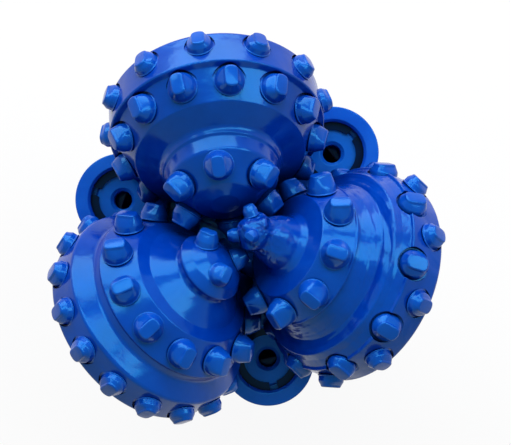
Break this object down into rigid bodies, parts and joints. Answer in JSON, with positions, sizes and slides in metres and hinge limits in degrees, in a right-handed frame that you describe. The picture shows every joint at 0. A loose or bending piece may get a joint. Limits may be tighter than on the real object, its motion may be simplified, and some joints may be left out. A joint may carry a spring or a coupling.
{
  "type": "roller cone drill bit",
  "caption": "Three-cone rotary rock bit: chisel carbide inserts in intermeshing rolling cones on sealed journal bearings, jet nozzles between the legs and a tapered threaded pin.",
  "frame": {"origin": "centre of the make-up shoulder face on the bit axis", "axes": "+Z along the bit axis from the threaded pin towards the cones; cones 1, 2 and 3 stand at 90, 210 and 330 degrees about +Z from +X"},
  "size_m": [0.2194, 0.2148, 0.3324],
  "materials": {
    "leg_enamel": "gloss",
    "boss_enamel": "gloss",
    "cone_enamel": "gloss",
    "insert_enamel": "gloss",
    "cap_enamel": "gloss",
    "plug_enamel": "gloss",
    "button_enamel": "gloss",
    "weld_enamel": "gloss",
    "seal_rubber": "matt",
    "ring_spring_steel": "satin",
    "nozzle_carbide": "ground",
    "canister_steel": "satin",
    "bearing_bronze": "turned",
    "washer_silver": "plated",
    "ball_steel": "ground"
  },
  "bodies": {
    "bit_body": {"leg_1": "leg_enamel", "nozzle_boss_1": "boss_enamel", "nozzle_1": "nozzle_carbide", "nozzle_seal_1": "seal_rubber", "nozzle_ring_1": "ring_spring_steel", "reservoir_canister_1": "canister_steel", "reservoir_cap_1": "cap_enamel", "reservoir_ring_1": "ring_spring_steel", "ball_plug_1": "plug_enamel", "shirttail_buttons_1": "button_enamel", "leg_2": "leg_enamel", "nozzle_boss_2": "boss_enamel", "nozzle_2": "nozzle_carbide", "nozzle_seal_2": "seal_rubber", "nozzle_ring_2": "ring_spring_steel", "reservoir_canister_2": "canister_steel", "reservoir_cap_2": "cap_enamel", "reservoir_ring_2": "ring_spring_steel", "ball_plug_2": "plug_enamel", "shirttail_buttons_2": "button_enamel", "leg_3": "leg_enamel", "nozzle_boss_3": "boss_enamel", "nozzle_3": "nozzle_carbide", "nozzle_seal_3": "seal_rubber", "nozzle_ring_3": "ring_spring_steel", "reservoir_canister_3": "canister_steel", "reservoir_cap_3": "cap_enamel", "reservoir_ring_3": "ring_spring_steel", "ball_plug_3": "plug_enamel", "shirttail_buttons_3": "button_enamel", "seam_welds": "weld_enamel"},
    "rolling_cone_1": {"cone_1": "cone_enamel", "cone_bushing_1": "bearing_bronze", "thrust_washer_1": "washer_silver", "cone_seal_1": "seal_rubber", "inserts_1_gauge": "insert_enamel", "inserts_1_middle": "insert_enamel", "inserts_1_nose": "insert_enamel"},
    "ball_set_1": {"retaining_balls_1": "ball_steel"},
    "rolling_cone_2": {"cone_2": "cone_enamel", "cone_bushing_2": "bearing_bronze", "thrust_washer_2": "washer_silver", "cone_seal_2": "seal_rubber", "inserts_2_gauge": "insert_enamel", "inserts_2_middle": "insert_enamel", "inserts_2_nose": "insert_enamel"},
    "ball_set_2": {"retaining_balls_2": "ball_steel"},
    "rolling_cone_3": {"cone_3": "cone_enamel", "cone_bushing_3": "bearing_bronze", "thrust_washer_3": "washer_silver", "cone_seal_3": "seal_rubber", "inserts_3_gauge": "insert_enamel", "inserts_3_middle": "insert_enamel", "inserts_3_inner": "insert_enamel", "inserts_3_nose": "insert_enamel"},
    "ball_set_3": {"retaining_balls_3": "ball_steel"}
  },
  "joints": [
    {"name": "cone_1_spin", "type": "hinge", "parent": "bit_body", "child": "rolling_cone_1", "pos_m": [-0.00476, 0.05803, 0.16686], "axis": [0, 0.829, -0.5592], "continuous": true},
    {"name": "balls_1_roll", "type": "hinge", "parent": "bit_body", "child": "ball_set_1", "pos_m": [-0.00476, 0.05803, 0.16686], "axis": [0, 0.829, -0.5592], "continuous": true},
    {"name": "cone_2_spin", "type": "hinge", "parent": "bit_body", "child": "rolling_cone_2", "pos_m": [-0.04788, -0.03314, 0.16686], "axis": [-0.718, -0.4145, -0.5592], "continuous": true},
    {"name": "balls_2_roll", "type": "hinge", "parent": "bit_body", "child": "ball_set_2", "pos_m": [-0.04788, -0.03314, 0.16686], "axis": [-0.718, -0.4145, -0.5592], "continuous": true},
    {"name": "cone_3_spin", "type": "hinge", "parent": "bit_body", "child": "rolling_cone_3", "pos_m": [0.05264, -0.02489, 0.16686], "axis": [0.718, -0.4145, -0.5592], "continuous": true},
    {"name": "balls_3_roll", "type": "hinge", "parent": "bit_body", "child": "ball_set_3", "pos_m": [0.05264, -0.02489, 0.16686], "axis": [0.718, -0.4145, -0.5592], "continuous": true}
  ],
  "couplings": [
    {"joint": "balls_1_roll", "follows": "cone_1_spin", "ratio": 0.5},
    {"joint": "balls_2_roll", "follows": "cone_2_spin", "ratio": 0.5},
    {"joint": "balls_3_roll", "follows": "cone_3_spin", "ratio": 0.5}
  ]
}
